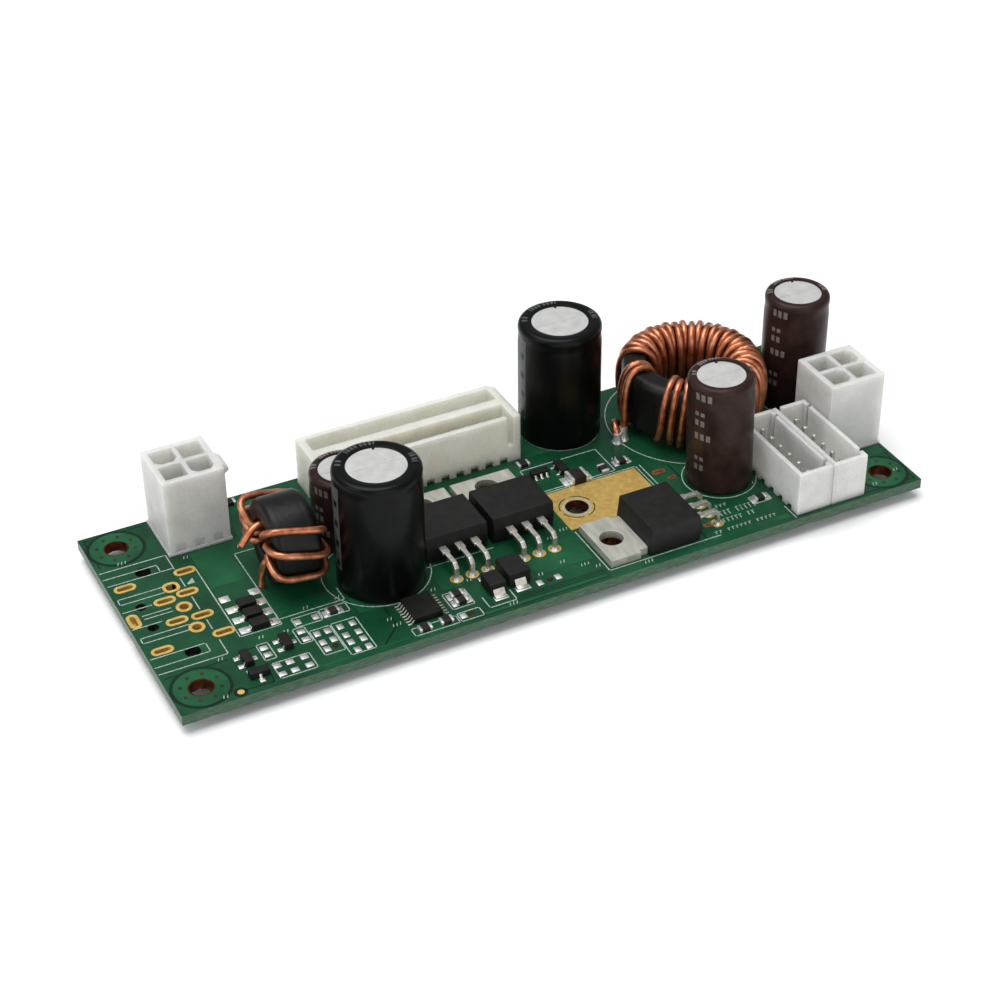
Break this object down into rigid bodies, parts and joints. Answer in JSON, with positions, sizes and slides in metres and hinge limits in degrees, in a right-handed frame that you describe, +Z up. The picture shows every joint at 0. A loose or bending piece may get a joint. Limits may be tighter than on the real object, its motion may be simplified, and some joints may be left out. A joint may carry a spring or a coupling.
{
  "type": "dc-dc converter",
  "caption": "Bare DC-DC converter board with toroidal coils, electrolytic capacitors, flat-lying power transistors and shrouded headers.",
  "frame": {"origin": "centre of the four mounting holes, on the underside of the board", "axes": "+X along the board from the unfitted jack to the output headers, +Y from the front edge to the back edge, +Z up through the parts"},
  "size_m": [0.12, 0.0446, 0.0234],
  "materials": {
    "laminate": "semi-gloss green solder mask",
    "gold_plate": "thin gold plating, slightly uneven",
    "white_housing": "moulded off-white nylon",
    "tinned_pin": "tinned, smooth",
    "core_coating": "black epoxy coating on pressed powder",
    "enamel_wire": "clear-enamelled copper",
    "solder": "bright solder",
    "can_metal": "satin aluminium, scored top",
    "black_sleeve": "black shrink film",
    "brown_sleeve": "dark brown shrink film",
    "bung_rubber": "matte",
    "epoxy_black": "moulded black epoxy, fine matte",
    "tab_metal": "tinned copper tab, light tarnish",
    "chip_ceramic": "small dark fired bodies"
  },
  "bodies": {
    "root": {"board": "laminate", "thermal_pad": "gold_plate", "left_power_header": "white_housing", "left_power_pins": "tinned_pin", "right_power_header": "white_housing", "right_power_pins": "tinned_pin", "signal_header": "white_housing", "signal_pins": "tinned_pin", "inner_output_header": "white_housing", "inner_output_pins": "tinned_pin", "outer_output_header": "white_housing", "outer_output_pins": "tinned_pin", "choke_core": "core_coating", "choke_front_winding": "enamel_wire", "choke_rear_winding": "enamel_wire", "inductor_core": "core_coating", "inductor_winding": "enamel_wire", "coil_joints": "solder", "input_capacitor_can": "can_metal", "input_capacitor_sleeve": "black_sleeve", "bus_capacitor_can": "can_metal", "bus_capacitor_sleeve": "black_sleeve", "front_output_capacitor_can": "can_metal", "front_output_capacitor_sleeve": "brown_sleeve", "rear_output_capacitor_can": "can_metal", "rear_output_capacitor_sleeve": "brown_sleeve", "filter_capacitor_can": "can_metal", "filter_capacitor_sleeve": "brown_sleeve", "capacitor_bungs": "bung_rubber", "capacitor_leads": "tinned_pin", "left_transistor_body": "epoxy_black", "left_transistor_tab": "tab_metal", "left_transistor_legs": "tinned_pin", "middle_transistor_body": "epoxy_black", "middle_transistor_tab": "tab_metal", "middle_transistor_legs": "tinned_pin", "side_transistor_body": "epoxy_black", "side_transistor_tab": "tab_metal", "side_transistor_legs": "tinned_pin", "controller_body": "epoxy_black", "controller_leads": "tinned_pin", "large_diode_body": "epoxy_black", "large_diode_terminals": "tinned_pin", "small_diode_body": "epoxy_black", "small_diode_terminals": "tinned_pin", "rectifier_bodies": "epoxy_black", "rectifier_terminals": "tinned_pin", "small_transistor_bodies": "epoxy_black", "small_transistor_leads": "tinned_pin", "chip_bodies": "chip_ceramic", "chip_end_caps": "solder", "tinned_pads": "solder"}
  },
  "joints": []
}
